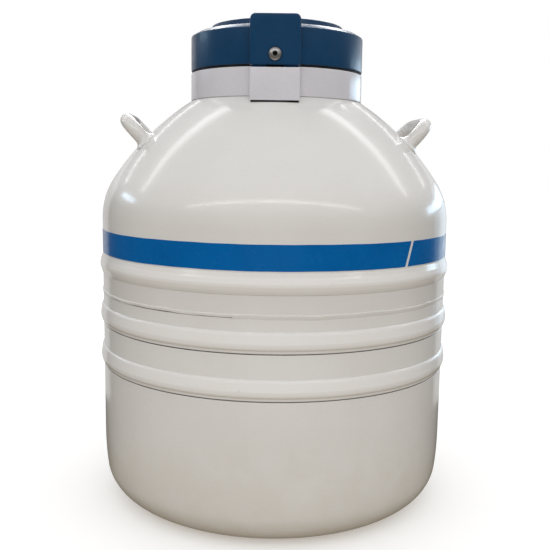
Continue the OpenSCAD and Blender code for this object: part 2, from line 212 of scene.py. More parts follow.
def lathe(name, outline, around=256, change=None):
    """Turns a closed outline of (radius, height) about Z. change(radius, height, angle) may
    return another radius and height for each point."""
    corners, rings = [], []
    for radius, height in outline:
        if radius < 1e-6:
            rings.append([len(corners)] * around)
            corners.append((0, 0, height))
            continue
        rings.append(list(range(len(corners), len(corners) + around)))
        for k in range(around):
            a = 2 * math.pi * k / around
            r, z = change(radius, height, a) if change else (radius, height)
            corners.append((r * math.cos(a), r * math.sin(a), z))
    faces = []
    for i, ring in enumerate(rings):
        above = rings[(i + 1) % len(rings)]
        if ring[0] == ring[1] and above[0] == above[1]:
            continue
        for k in range(around):
            n = (k + 1) % around
            face = [ring[k], ring[n], above[n], above[k]]
            faces.append(list(dict.fromkeys(face)))
    return shape(name, corners, faces)


def sweep(name, path, radius, sides=24, swell=None):
    """A closed tube along a path of points. swell(point, outwards) returns an extra radius."""
    corners, faces = [], []
    tangents = []
    for i in range(len(path)):
        ahead = path[min(i + 1, len(path) - 1)] - path[max(i - 1, 0)]
        tangents.append(ahead.normalized())
    side = tangents[0].orthogonal().normalized()
    for i, point in enumerate(path):
        side = (side - tangents[i] * side.dot(tangents[i])).normalized()
        up = tangents[i].cross(side)
        for k in range(sides):
            a = 2 * math.pi * k / sides
            out = side * math.cos(a) + up * math.sin(a)
            more = swell(point + out * radius, a) if swell else 0
            corners.append(point + out * (radius + more))
    for i in range(len(path) - 1):
        for k in range(sides):
            n = (k + 1) % sides
            faces.append([i * sides + k, i * sides + n, (i + 1) * sides + n, (i + 1) * sides + k])
    faces.append(list(range(sides)))
    faces.append([(len(path) - 1) * sides + k for k in range(sides)])
    return shape(name, corners, faces)


def slab(name, low, high, bevel=0.0, steps=3, keep=()):
    """A box between two corners. Its edges are rounded, except those on the faces that point
    along one of the keep directions."""
    work = bmesh.new()
    bmesh.ops.create_cube(work, size=1)
    low, high = Vector(low), Vector(high)
    for corner in work.verts:
        corner.co = [low[i] + (corner.co[i] + 0.5) * (high[i] - low[i]) for i in range(3)]
    if bevel:
        def touches(edge):
            return any(face.normal.dot(Vector(way)) > 0.9 for face in edge.link_faces for way in keep)
        work.normal_update()
        bmesh.ops.bevel(work, geom=[e for e in work.edges if not touches(e)], offset=bevel,
                        segments=steps, profile=0.5, affect="EDGES", clamp_overlap=True)
    mesh = bpy.data.meshes.new(name)
    work.to_mesh(mesh)
    work.free()
    finished(mesh)
    thing = bpy.data.objects.new(name, mesh)
    bpy.context.scene.collection.objects.link(thing)
    return thing


def carve(thing, tool, operation="DIFFERENCE"):
    """Cuts the tool out of the thing, or joins it on, and deletes the tool."""
    change = thing.modifiers.new(operation.lower(), "BOOLEAN")
    change.operation = operation
    change.solver = "EXACT"
    change.object = tool
    done = thing.evaluated_get(bpy.context.evaluated_depsgraph_get())
    mesh = bpy.data.meshes.new_from_object(done)
    thing.modifiers.clear()
    old, thing.data = thing.data, mesh
    mesh.name = thing.name
    bpy.data.meshes.remove(old)
    bpy.data.objects.remove(tool)
    finished(mesh)
    return thing


def moved(thing, matrix):
    thing.data.transform(matrix)
    return thing


def merged(name, things):
    """One piece from several, with their meshes side by side."""
    work = bmesh.new()
    for thing in things:
        work.from_mesh(thing.data)
        bpy.data.objects.remove(thing)
    mesh = bpy.data.meshes.new(name)
    work.to_mesh(mesh)
    work.free()
    finished(mesh)
    whole = bpy.data.objects.new(name, mesh)
    bpy.context.scene.collection.objects.link(whole)
    return whole


def piece(thing, material, body, slot, *nodes):
    """Gives the piece its material, and says what it rides on and which CAD nodes it shows."""
    thing.data.materials.clear()
    thing.data.materials.append(material)
    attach(thing, body)
    if nodes:
        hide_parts(*nodes)


def dress(node, material):
    """A CAD node that stays as it is, with a better material."""
    thing = frame["nodes"][node]
    thing.data.materials.clear()
    thing.data.materials.append(material)


def about_z(degrees):
    return Matrix.Rotation(math.radians(degrees), 4, "Z")


# ---- materials ----

class Shader:
    """A Principled material, with short calls for the nodes that feed it."""

    def __init__(self, name, **values):
        self.material = bpy.data.materials.new(name)
        self.material.use_nodes = True
        self.tree = self.material.node_tree
        self.surface = self.tree.nodes["Principled BSDF"]
        self.place = self.tree.nodes.new("ShaderNodeTexCoord").outputs["Object"]
        self.set(**values)

    def set(self, **values):
        """Sets or links sockets of the Principled shader: Base_Color stands for Base Color."""
        for key, value in values.items():
            self.feed(self.surface.inputs[key.replace("_", " ")], value)

    def feed(self, socket, value):
        if isinstance(value, bpy.types.NodeSocket):
            self.tree.links.new(value, socket)
        elif value is not None:
            is_colour = socket.type == "RGBA" and len(value) == 3
            socket.default_value = (*value, 1) if is_colour else value

    def add(self, kind, inputs, out=0, **settings):
        node = self.tree.nodes.new("ShaderNode" + kind)
        for key, value in settings.items():
            setattr(node, key, value)
        for key, value in inputs.items():
            self.feed(node.inputs[key], value)
        return node.outputs[out]

    def stretched(self, scale):
        return self.add("Mapping", {"Vector": self.place, "Scale": scale})

    def noise(self, scale, detail=3.0, rough=0.55, at=None, warp=0.0):
        return self.add("TexNoise", {"Vector": at or self.place, "Scale": scale, "Detail": detail,
                                     "Roughness": rough, "Distortion": warp})

    def cells(self, scale, feature="F1", at=None):
        return self.add("TexVoronoi", {"Vector": at or self.place, "Scale": scale}, feature=feature)

    def wave(self, scale, at=None, warp=0.0, direction="Z"):
        return self.add("TexWave", {"Vector": at or self.place, "Scale": scale, "Distortion": warp},
                        out=1, bands_direction=direction)

    def span(self, value, low, high, to_low=0.0, to_high=1.0):
        """Maps low..high smoothly to to_low..to_high, and holds it outside them."""
        return self.add("MapRange", {0: value, 1: low, 2: high, 3: to_low, 4: to_high},
                        interpolation_type="SMOOTHSTEP")

    def math(self, operation, first, second=None):
        return self.add("Math", {0: first, 1: second}, operation=operation)

    def mix(self, share, first, second):
        return self.add("Mix", {0: share, 6: first, 7: second}, out=2, data_type="RGBA")

    def split(self):
        node = self.tree.nodes.new("ShaderNodeSeparateXYZ")
        self.feed(node.inputs[0], self.place)
        return node.outputs

    def height(self):
        return self.split()[2]

    def wrapped(self, radius):
        """Coordinates that lie flat round the Z axis: arc length, height, distance outwards."""
        x, y, z = self.split()
        square = self.math("ADD", self.math("MULTIPLY", x, x), self.math("MULTIPLY", y, y))
        away = self.math("SQRT", square)
        length = self.math("MULTIPLY", self.math("ARCTAN2", y, x), radius)
        return self.add("CombineXYZ", {0: length, 1: z, 2: away}), away

    def bump(self, height, distance, strength=1.0, under=None):
        """Relief from a height; distance is its depth in metres."""
        return self.add("Bump", {"Height": height, "Strength": strength, "Distance": distance,
                                 "Normal": under})


def enamel():
    """Thick gloss paint over spun aluminium: faint orange peel, slow mottling, dust and painted
    shade towards the floor, ribs painted lighter as a painted highlight, painted shade in the
    grooves and seam, a painted shadow under the tab, scuffs where the ribs stand out most."""
    s = Shader("enamel", Specular_IOR_Level=0.2, Coat_Weight=1.0, Coat_Roughness=0.14, Coat_IOR=1.5)
    tone = s.mix(s.span(s.noise(7, 4), 0.35, 0.68), (0.765, 0.748, 0.722), (0.795, 0.780, 0.757))
    speck = s.span(s.noise(420, 2, 0.7), 0.52, 0.78, 0, 0.22)
    tone = s.mix(speck, tone, (0.60, 0.575, 0.54))
    # dust and painted shade: the paint turns darker and warmer towards the floor
    low = s.span(s.height(), 0.0, 0.26, 1, 0)
    dust_and_shade = s.math("MULTIPLY", low, s.span(s.noise(26, 5, 0.6), 0.30, 0.72, 0.16, 0.46))
    tone = s.mix(dust_and_shade, tone, (0.665, 0.610, 0.515))
    _, away = s.wrapped(WALL_R)
    # painted highlight: the ribs' faces are painted lighter, as if they caught more light
    rib_painted_highlight = s.span(away, WALL_R + 0.0012, WALL_R + 0.0030, 0, 0.7)
    tone = s.mix(rib_painted_highlight, tone, (0.895, 0.880, 0.858))
    # painted shade: a dark line in the grooves under the ribs and in the seam's groove
    crease_shade_low, crease_shade_high = 0.180, 0.320
    wall = s.span(s.height(), crease_shade_high - 0.002, crease_shade_high, 1, 0)
    crease_shade = s.math("MULTIPLY", wall, s.span(s.height(), crease_shade_low, crease_shade_low + 0.002))
    crease_shade = s.math("MULTIPLY", crease_shade, s.span(away, WALL_R - 0.0006, WALL_R - 0.0001, 0.85, 0))
    tone = s.mix(crease_shade, tone, (0.085, 0.078, 0.070))
    # painted shadow: a near-black line on the shoulder just under the tab's foot
    across, along, up = s.split()
    under = s.span(s.math("ABSOLUTE", across), LOCK_W / 2 - 0.0016, LOCK_W / 2 - 0.0006, 1, 0)
    under = s.math("MULTIPLY", under, s.span(up, TAB_LOW - 0.0024, TAB_LOW - 0.0019))
    under = s.math("MULTIPLY", under, s.span(along, 0.010 - COLLAR_R, 0.012 - COLLAR_R, 1, 0))
    tone = s.mix(s.math("MULTIPLY", under, 0.95), tone, (0.020, 0.019, 0.018))
    proud = s.span(away, WALL_R + 0.0030, WALL_R + 0.0040)
    scuff = s.math("MULTIPLY", proud, s.span(s.noise(150, 5, 0.7), 0.62, 0.72, 0, 0.5))
    tone = s.mix(scuff, tone, (0.52, 0.50, 0.475))
    rough = s.span(s.noise(60, 4), 0.3, 0.7, 0.30, 0.40)
    rough = s.math("ADD", rough, s.math("MULTIPLY", scuff, 0.3))
    peel = s.bump(s.noise(330, 2, 0.5), 0.00007, 0.7)
    grain = s.bump(s.noise(1500, 2, 0.5), 0.000012, 0.5, peel)
    s.set(Base_Color=tone, Roughness=rough, Normal=grain, Coat_Normal=peel)
    return s.material


def stripe_film():
    """Gloss vinyl film, with the slow waves and tiny specks of film laid by hand."""
    s = Shader("stripe_film", IOR=1.25, Specular_IOR_Level=0.5, Coat_Weight=0.5, Coat_Roughness=0.06,
               Coat_IOR=1.25)
    tone = s.mix(s.span(s.noise(14, 3), 0.3, 0.7), (0.0002, 0.112, 0.365), (0.0003, 0.128, 0.412))
    worn = s.span(s.noise(240, 4, 0.65), 0.66, 0.75, 0, 0.35)
    tone = s.mix(worn, tone, (0.02, 0.19, 0.47))
    ripple = s.bump(s.noise(22, 2), 0.0006, 0.35)
    fine = s.bump(s.noise(700, 2), 0.00002, 0.4, ripple)
    rough = s.span(s.noise(90, 3), 0.3, 0.7, 0.20, 0.30)
    s.set(Base_Color=tone, Roughness=rough, Normal=fine, Coat_Normal=ripple)
    return s.material


def moulded(name, dark, light, rough, grain=0.00006, coat=0.0, mark=0.3, ior=1.5):
    """Injection-moulded plastic: a spark-eroded grain, slow tone changes, faint rub marks."""
    s = Shader(name, IOR=ior, Specular_IOR_Level=0.5, Coat_Weight=coat, Coat_Roughness=0.16, Coat_IOR=ior)
    tone = s.mix(s.span(s.noise(18, 4), 0.3, 0.7), dark, light)
    fleck = s.span(s.noise(900, 2, 0.6), 0.45, 0.75, 0, 0.35)
    tone = s.mix(fleck, tone, tuple(min(1, c * 1.25) for c in light))
    rub = s.span(s.noise(55, 6, 0.72, s.stretched((1, 1, 0.35))), 0.60, 0.74, 0, mark)
    tone = s.mix(rub, tone, tuple(min(1, c * 1.2 + 0.015) for c in light))
    pits = s.bump(s.cells(1300), grain, 0.7)
    slow = s.bump(s.noise(35, 2), 0.0004, 0.25, pits)
    s.set(Base_Color=tone, Roughness=s.span(s.noise(80, 4), 0.3, 0.7, rough, rough + 0.08), Normal=slow)
    return s.material


def metal(name, tone, shade, rough, lines=(60, 60, 4000), depth=0.00002, radius=None, socket=None):
    """Bare metal with fine tool lines; with a radius, the lines run round the Z axis. A socket
    (its height, radius and mouth) that runs back along Y is painted near black inside as painted shade."""
    s = Shader(name, Metallic=1.0, Specular_IOR_Level=0.5)
    if radius:
        flat, _ = s.wrapped(radius)
        at = s.add("Mapping", {"Vector": flat, "Scale": lines})
    else:
        at = s.stretched(lines)
    stroke = s.noise(1.0, 3, 0.6, at)
    cloud = s.span(s.noise(24, 5, 0.6), 0.3, 0.72)
    colour = s.mix(cloud, shade, tone)
    colour = s.mix(s.span(stroke, 0.4, 0.7, 0, 0.35), colour, tuple(c * 0.72 for c in shade))
    # painted shade: the inside of the socket is painted near black
    if socket:
        height, reach, mouth = socket
        x, y, z = s.split()
        rise = s.math("SUBTRACT", z, height)
        away = s.math("SQRT", s.math("ADD", s.math("MULTIPLY", x, x), s.math("MULTIPLY", rise, rise)))
        inside = s.math("MULTIPLY", s.span(away, reach, reach + 0.0002, 1, 0),
                        s.span(y, mouth, mouth + 0.0006))
        colour = s.mix(inside, colour, (0.022, 0.022, 0.022))
    haze = s.math("ADD", s.span(stroke, 0.3, 0.7, rough - 0.05, rough + 0.09),
                  s.span(cloud, 0, 1, 0.05, 0))
    s.set(Base_Color=colour, Roughness=haze, Normal=s.bump(stroke, depth, 0.6))
    return s.material


def foil():
    """Crinkled aluminised foil: sharp random folds over slow bulges, painted darker along the folds as
    painted shade.
    """
    s = Shader("foil_blanket", Metallic=1.0, Roughness=0.22)
    crease = s.cells(42, "DISTANCE_TO_EDGE", s.add("MixRGB", {0: 0.03, 1: s.place, 2: s.noise(30)}))
    bulge = s.bump(s.noise(24, 4, 0.7, warp=0.6), 0.004, 0.8)
    # painted shade: the foil's colour is darker along its fold lines
    s.set(Base_Color=s.mix(s.span(crease, 0, 0.12), (0.62, 0.63, 0.65), (0.86, 0.87, 0.89)),
          Normal=s.bump(s.span(crease, 0, 0.2), 0.0012, 0.8, bulge))
    return s.material


def woven(name, tone, shade, scale, rough, radius, coat=0.0):
    """A plain weave laid round the Z axis."""
    s = Shader(name, Specular_IOR_Level=0.4, Coat_Weight=coat, Coat_Roughness=0.2)
    flat, _ = s.wrapped(radius)
    warp = s.wave(scale, flat, 0.3, "X")
    weft = s.wave(scale, flat, 0.3, "Y")
    cloth = s.math("MULTIPLY", warp, weft)
    blotch = s.span(s.noise(30, 4), 0.3, 0.7, 0, 0.4)
    colour = s.mix(blotch, s.mix(cloth, shade, tone), tuple(c * 0.85 for c in tone))
    s.set(Base_Color=colour, Roughness=s.span(cloth, 0, 1, rough + 0.12, rough),
          Normal=s.bump(cloth, 0.0002, 0.7))
    return s.material


def foam():
    """Cut closed-cell foam: a fine cell pattern with a few open cells."""
    s = Shader("foam", Roughness=0.86, Specular_IOR_Level=0.25, Subsurface_Weight=0.05,
               Subsurface_Radius=(0.004, 0.004, 0.003), Subsurface_Scale=0.3)
    cell = s.cells(620)
    tone = s.mix(s.span(cell, 0.1, 0.6), (0.70, 0.69, 0.64), (0.82, 0.81, 0.77))
    stain = s.span(s.noise(16, 5, 0.6), 0.48, 0.75, 0, 0.30)
    tone = s.mix(stain, tone, (0.64, 0.60, 0.50))
    s.set(Base_Color=tone, Normal=s.bump(cell, 0.00035, 0.8))
    return s.material


def rubber():
    """Matt black seal rubber, with bloom and moulding texture."""
    s = Shader("seal_rubber", Specular_IOR_Level=0.4, Sheen_Weight=0.12, Sheen_Roughness=0.5)
    tone = s.mix(s.span(s.noise(60, 5, 0.7), 0.35, 0.75), (0.012, 0.012, 0.013), (0.045, 0.045, 0.046))
    s.set(Base_Color=tone, Roughness=s.span(s.noise(120, 3), 0.3, 0.7, 0.55, 0.74),
          Normal=s.bump(s.noise(1400, 3), 0.00005, 0.6))
    return s.material


ENAMEL = enamel()
FILM = stripe_film()
LID_PLASTIC = moulded("lid_plastic", (0.0032, 0.043, 0.115), (0.0046, 0.051, 0.134), 0.30, coat=0.3,
                      mark=0.14, ior=1.32)
COLLAR_PLASTIC = moulded("collar_plastic", (0.700, 0.685, 0.735), (0.735, 0.720, 0.770), 0.36,
                         coat=0.8, mark=0.08)
WHITE_PLASTIC = moulded("white_plastic", (0.70, 0.70, 0.68), (0.76, 0.76, 0.74), 0.42)
ALUMINIUM = metal("aluminium", (0.80, 0.81, 0.83), (0.70, 0.71, 0.73), 0.30, (40, 2600, 2600),
                  radius=WALL_R)
STEEL = metal("steel", (0.60, 0.585, 0.56), (0.46, 0.45, 0.43), 0.26, (900, 900, 900), 0.00001)
# painted shade: near-black steel for the lock tongue, so that the gap it stands in reads as shadow
SHADE_PAINTED_STEEL = metal("black_steel", (0.030, 0.030, 0.032), (0.020, 0.020, 0.022), 0.42,
                    (900, 900, 900), 0.00001)
LOCK_STEEL = metal("lock_steel", (0.66, 0.645, 0.62), (0.50, 0.49, 0.47), 0.36, (900, 900, 900), 0.000006,
                   socket=(SCREW_Z, LOCK_KEY / math.sqrt(3), pick("lock_screw", 0, 1) + 0.0005))
CAN_STEEL = metal("canister_steel", (0.74, 0.74, 0.73), (0.62, 0.62, 0.615), 0.27, (50, 50, 1800))
BRASS = metal("brass", (0.78, 0.57, 0.26), (0.62, 0.43, 0.18), 0.28, (1500, 1500, 1500))
FOIL = foil()
GLASS_FIBRE = woven("glass_fibre", (0.56, 0.47, 0.27), (0.40, 0.32, 0.16), 130, 0.34, 0.0635, 0.3)
BAG_CLOTH = woven("adsorbent_bag", (0.76, 0.73, 0.64), (0.55, 0.52, 0.44), 190, 0.82, 0.08)
FOAM = foam()
RUBBER = rubber()


# ---- outer shell ----

def spun(radius, height, angle):
    """The slight unevenness that spinning and rolling leave in the sheet."""
    swing = (math.sin(3 * angle + 9 * height + 0.4) + 0.7 * math.sin(7 * angle - 21 * height)
             + 0.5 * math.sin(13 * angle + 34 * height + 1.1))
    return radius - 0.00006 * (1 + swing / 2.2) * min(1, radius / 0.1), height


def shell_lower():
    taper_z = FOOT_R * (1 - math.sin(math.radians(TAPER_TURN))) \
        + TAPER_R * math.sin(math.radians(TAPER_TURN))
    taper_c = (WALL_R - TAPER_R, taper_z)
    run = TAPER_R - FOOT_R
    foot_c = (taper_c[0] + run * math.cos(math.radians(TAPER_TURN)),
              taper_c[1] - run * math.sin(math.radians(TAPER_TURN)))
    outline = [(0, RECESS), (STAND_R * 0.5, RECESS), (STAND_R - RECESS_RUN, RECESS), (STAND_R, 0)]
    outline += arc(foot_c, FOOT_R, -90, -TAPER_TURN, 18)
    outline += arc(taper_c, TAPER_R, -TAPER_TURN, 0, 8)
    outline += rib(RIB_MIDS[0], RIB_ROLLED, ROLLED_SOFT)
    outline += rib(RIB_MIDS[1], RIB_ROLLED, ROLLED_SOFT)
    outline += [(WALL_R, SEAM_Z - SEAM_BEVEL), (WALL_R - SEAM_DEPTH, SEAM_Z)]
    outline = rounded(outline, 0.0012, closed=False)
    inside = [(WALL_R - SHELL_T, SEAM_Z), (WALL_R - SHELL_T, taper_z)]
    inside += arc(foot_c, FOOT_R - SHELL_T, -TAPER_TURN, -90, 8) + [(0, RECESS + SHELL_T)]
    piece(lathe("outer_shell_lower_skin", outline + inside, change=spun), ENAMEL,
          "vessel", "enamel", "outer_shell_lower")


def shell_upper():
    outline = [(WALL_R - SEAM_DEPTH, SEAM_Z), (WALL_R, SEAM_Z + SEAM_BEVEL)]
    outline += rib(RIB_MIDS[2], RIB_FLAT, FLAT_SOFT)
    outline += arc((WALL_R - KNUCKLE_R, SHOULDER_Z), KNUCKLE_R, 0, KNUCKLE_TURN, 16)
    end = math.degrees(math.acos((RING_R - CROWN_C[0]) / CROWN_R))
    outline += arc(CROWN_C, CROWN_R, KNUCKLE_TURN, end, 30)[1:]
    outline = rounded(outline, 0.0012, closed=False)
    inside = arc(CROWN_C, CROWN_R - SHELL_T, end, KNUCKLE_TURN, 16)
    inside += [(WALL_R - SHELL_T, SHOULDER_Z), (WALL_R - SHELL_T, SEAM_Z)]
    skin = lathe("outer_shell_upper_skin", outline + inside, change=spun)
    piece(skin, ENAMEL, "vessel", "enamel", "outer_shell_upper")


def weld():
    """The bead where the two shells meet: close ripples, and a long side that faces down. Between
    the angles start and stop it is proud, over an open groove; elsewhere it is ground lower."""
    height, out, root = 0.0060, 0.0014, 0.0016
    start, stop, ground = 2.75, 4.53, 0.85
    undercut = 0.0020

    def ripple(radius, z, angle):
        share = max(0, (radius - WALL_R) / out)
        scale = math.sin(angle * 420 - 900 * abs(z - SEAM_Z))
        proud = 1 if start < angle < stop else ground
        slow = proud * (0.86 + 0.09 * math.sin(5 * angle + 1.3) + 0.05 * math.sin(17 * angle))
        wander = 0.00035 * math.sin(11 * angle + 0.7) + 0.00022 * math.sin(29 * angle)
        if proud == 1 and share < 0.05 and z < SEAM_Z:
            wander += undercut
        grown = radius + share * (out * (slow - 1) + 0.00006 * scale)
        return grown, z + wander

    profile = [(0.00, -0.50), (0.62, -0.14), (0.93, 0.22), (1.00, 0.33), (0.80, 0.43), (0.00, 0.50)]
    outline = [(WALL_R + out * way, SEAM_Z + height * up) for way, up in profile]
    outline = [(WALL_R - root, outline[0][1])] + outline + [(WALL_R - root, outline[-1][1])]
    bead = lathe("girth_weld_bead", outline, around=1680, change=ripple)
    piece(bead, ENAMEL, "vessel", "enamel", "girth_weld")


def stripe():
    """A film laid round the wall; its two ends meet at a slanted gap."""
    low, high = pick("stripe_band", 0, 2), pick("stripe_band", 1, 2)
    thick, gap, lean, joint = 0.00025, 0.005, 19, -45.8
    around, rows = 360, 4
    corners, faces = [], []
    for layer in (0, 1):
        for row in range(rows + 1):
            z = low + (high - low) * row / rows
            drift = math.tan(math.radians(lean)) * (z - (low + high) / 2) / WALL_R
            start = math.radians(joint) + drift + gap / 2 / WALL_R
            turn = 2 * math.pi - gap / WALL_R
            for k in range(around + 1):
                a = start + turn * k / around
                wave = 0.00012 * math.sin(9 * a + 1) + 0.00008 * math.sin(31 * a)
                r = WALL_R - 0.0001 + layer * (thick + 0.0001)
                corners.append((r * math.cos(a), r * math.sin(a), z + wave))
    width = around + 1
    sheet = width * (rows + 1)
    for row in range(rows):
        for k in range(around):
            a, b = row * width + k, (row + 1) * width + k
            faces.append([a + sheet, a + 1 + sheet, b + 1 + sheet, b + sheet])
            faces.append([a, b, b + 1, a + 1])
    for k in range(around):
        top = rows * width + k
        faces.append([k, k + 1, k + 1 + sheet, k + sheet])
        faces.append([top, top + sheet, top + 1 + sheet, top + 1])
    for row in range(rows):
        for k in (row * width, row * width + around):
            faces.append([k, k + width, k + width + sheet, k + sheet])
    piece(shape("stripe_film_band", corners, faces), FILM, "vessel", "stripe_film", "stripe_band")


def handle(side, turn):
    """A bent bar handle. Its two feet run out into the shell in a hand-welded fillet."""
    fillet = 0.0085
    half, low = LEG_GAP / 2, -0.012
    straight = LEG_REACH - BEND_R
    path = [Vector((0, -half, low + (straight - low) * i / 26)) for i in range(26)]
    for i in range(13):
        a = math.radians(90 * i / 12)
        path.append(Vector((0, -half + BEND_R * (1 - math.cos(a)), straight + BEND_R * math.sin(a))))
    path += [Vector((0, y * (half - BEND_R), LEG_REACH)) for y in (-0.6, -0.2)]
    path += [Vector((0, -p.y, p.z)) for p in reversed(path)]
    foot_x = math.sqrt(HANDLE_AT ** 2 - half ** 2)
    place = about_z(turn) @ Matrix.Translation((foot_x, 0, crown_z(HANDLE_AT))) \
        @ Matrix.Rotation(math.radians(90 - LEG_SLOPE), 4, "Y")

    def weld_swell(point, angle):
        p = place @ point
        r = math.hypot(p.x, p.y)
        above = math.hypot(r - CROWN_C[0], p.z - CROWN_C[1]) - CROWN_R
        share = min(1, max(0, 1 - above / fillet))
        ripple = 0.00022 * math.sin(angle * 19 + above * 1400) * min(1, share * 2)
        return 0.0065 * share ** 2.2 + ripple * (share > 0)

    bar = moved(sweep("handle_%s_bar" % side, path, BAR_R, 40, weld_swell), place)
    piece(bar, ENAMEL, "vessel", "enamel", "handle_%s" % side)


# ---- collar ----

def shoulder_block(name, gap):
    """What lies under the shoulder's surface, grown outwards by gap: a cutting tool."""
    end = math.degrees(math.acos((RING_R * 0.9 - CROWN_C[0]) / (CROWN_R + gap)))
    outline = [(0, SHOULDER_Z)] + arc(CROWN_C, CROWN_R + gap, KNUCKLE_TURN, end, 40)
    return lathe(name, outline + [(0, outline[-1][1])])


def collar():
    inner = COLLAR_R - MOULD_T
    foot_in, foot_out = crown_z(inner) + 0.0003, crown_z(COLLAR_R) + 0.0003
    flange = COLLAR_LOW + FLANGE_T
    outline = rounded([
        (FLANGE_R, COLLAR_LOW), (WELL_R + MOULD_T, COLLAR_LOW), (WELL_R + MOULD_T, COLLAR_TOP - MOULD_T),
        (inner, COLLAR_TOP - MOULD_T), (inner, foot_in), (COLLAR_R, foot_out), (COLLAR_R, COLLAR_TOP),
        (WELL_R, COLLAR_TOP), (WELL_R, flange), (FLANGE_R, flange)], 0.0013, 5)
    ring = lathe("collar_moulding", outline)
    wall = 0.003
    tab_foot = TAB_LOW + 0.0005
    tab = slab("tab", (-LOCK_W / 2, LOCK_Y, tab_foot), (LOCK_W / 2, -0.100, TAB_TOP), 0.0016, 4,
               keep=[(0, 0, -1), (0, 1, 0)])
    carve(tab, slab("hollow", (wall - LOCK_W / 2, LOCK_Y + wall, TAB_LOW - 0.01),
                    (LOCK_W / 2 - wall, -0.09, TAB_TOP - wall), 0.0012, 2, keep=[(0, 0, -1), (0, 1, 0)]))
    core = lathe("core", [(0, 0.5), (inner + 0.001, 0.5), (inner + 0.001, 0.62), (0, 0.62)])
    carve(tab, core)
    carve(tab, shoulder_block("under", 0.0014))
    tongue_low, tongue_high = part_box("lock_tongue")
    carve(tab, slab("slot", (tongue_low.x - TONGUE_PLAY, tongue_low.y - TONGUE_PLAY, TAB_TOP - 0.006),
                    (tongue_high.x + TONGUE_PLAY, tongue_high.y + TONGUE_PLAY, TAB_TOP + 0.001)))
    carve(ring, tab, "UNION")
    for k in range(3):
        hole = lathe("hole", [(0, -0.01), (0.0025, -0.01), (0.0025, 0.01), (0, 0.01)], 32)
        carve(ring, moved(hole, about_z(120 * k) @ Matrix.Translation((FLANGE_SCREWS, 0, COLLAR_LOW))))
    piece(ring, COLLAR_PLASTIC, "vessel", "collar_plastic", "collar")


def socket_screw(name, head_r, head_h, shank_r, shank_l, across, round_top=False):
    """A hexagon socket screw along Z, its head's underside at zero."""
    if round_top:
        top = [(head_r * math.cos(a) ** 0.8, 0.0011 + (head_h - 0.0011) * math.sin(a))
               for a in (math.radians(i * 7.5) for i in range(12))]
        head = [(head_r - 0.0003, 0), (head_r, 0.0003)] + top + [(0, head_h)]
    else:
        head = rounded([(head_r, 0), (head_r, head_h), (0, head_h)], 0.0004, closed=False)
    outline = [(0, -shank_l), (shank_r - 0.0004, -shank_l), (shank_r, 0.0004 - shank_l), (shank_r, 0)]
    screw = lathe(name, outline + head, 64)
    depth = head_h * 0.60
    point = head_h * 0.22
    hexagon = lathe("key", [(0, head_h - depth - point), (across / math.sqrt(3), head_h - depth),
                            (across / math.sqrt(3), head_h + 0.001), (0, head_h + 0.001)], 6)
    carve(screw, hexagon)
    lead = lathe("lead", [(0, head_h - 0.0004), (across * 0.5, head_h - 0.0004),
                          (across * 0.5 + 0.0012, head_h + 0.0008), (0, head_h + 0.0008)], 48)
    return carve(screw, lead)


def collar_screws():
    screws = [moved(socket_screw("s", 0.0045, 0.003, 0.0025, 0.003, 0.003),
                    about_z(120 * k) @ Matrix.Translation((FLANGE_SCREWS, 0, COLLAR_LOW + FLANGE_T)))
              for k in range(3)]
    piece(merged("collar_cap_screws", screws), STEEL, "vessel", "steel", "collar_screws")


def index_ring():
    """The notched ring in the neck's mouth that keeps each canister's hook in its place."""
    low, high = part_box("index_ring")
    inner, outer = 0.0656, high.x
    ring = lathe("index_ring_moulding", rounded(
        [(inner, low.z), (outer, low.z), (outer, high.z), (inner, high.z)], 0.0009), 192)
    notch, floor = 0.0042, 0.6038
    for k in range(6):
        cut = slab("notch", (0.060, -notch / 2, floor), (0.075, notch / 2, high.z + 0.002))
        carve(ring, moved(cut, about_z(30 + 60 * k)))
    piece(ring, WHITE_PLASTIC, "vessel", "white_plastic", "index_ring")


def neck_tube():
    low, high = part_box("neck_tube")
    bore, outer = high.x - 0.002, high.x
    tube = lathe("neck_tube_wall", rounded(
        [(bore, low.z), (outer, low.z), (outer, high.z), (bore, high.z)], 0.0005, 3), 192)
    piece(tube, GLASS_FIBRE, "vessel", "glass_fibre", "neck_tube")


# ---- evacuation port ----

def port_place():
    axis = Vector(next(j["axis"] for j in frame["joints"] if j["name"] == "port_cap_pull"))
    at = 0.190
    return Matrix.Translation((0, at, crown_z(at))) @ axis.to_track_quat("Z", "X").to_matrix().to_4x4()


def port():
    place = port_place()
    boss_r, bore, up = 0.014, 0.009, 0.012
    fillet = [(boss_r + 0.0046 * (1 - t) ** 2.2, -0.0015 + 0.0055 * t) for t in (0, 0.2, 0.4, 0.7, 1)]
    outline = [(bore, -0.006), (boss_r + 0.0046, -0.006)] + fillet
    outline += [(boss_r, up - 0.0008), (boss_r - 0.0008, up), (bore + 0.0008, up), (bore, up - 0.0008)]

    def bead(radius, height, angle):
        return radius + 0.00018 * math.sin(26 * angle) * (boss_r + 0.0002 < radius), height

    boss = moved(lathe("port_boss_tube", outline, 208, bead), place)
    piece(boss, ENAMEL, "vessel", "enamel", "port_boss")
    grip = 36

    def ribbed(radius, height, angle):
        side = radius > 0.0166 and 0.003 < height < 0.0134
        return radius - 0.0006 * (0.5 + 0.5 * math.cos(grip * angle)) * side, height

    skirt, top, wall = 0.0015, 0.015, 0.0026
    outer = [(0.01695, skirt), (0.01695, 0.0029), (0.01695, 0.0031), (0.01695, 0.0085),
             (0.01695, 0.0133), (0.01695, 0.0135), (0.0160, top), (0.0105, top), (0.0098, top - 0.0006)]
    inner = [(0, top - 0.0006), (0, top - wall), (0.0143, top - wall), (0.0143, skirt)]
    cap = moved(lathe("port_cap_moulding", outer + inner, grip * 10, ribbed), place)
    piece(cap, COLLAR_PLASTIC, "port_cap", "collar_plastic", "port_cap")


# ---- lid ----

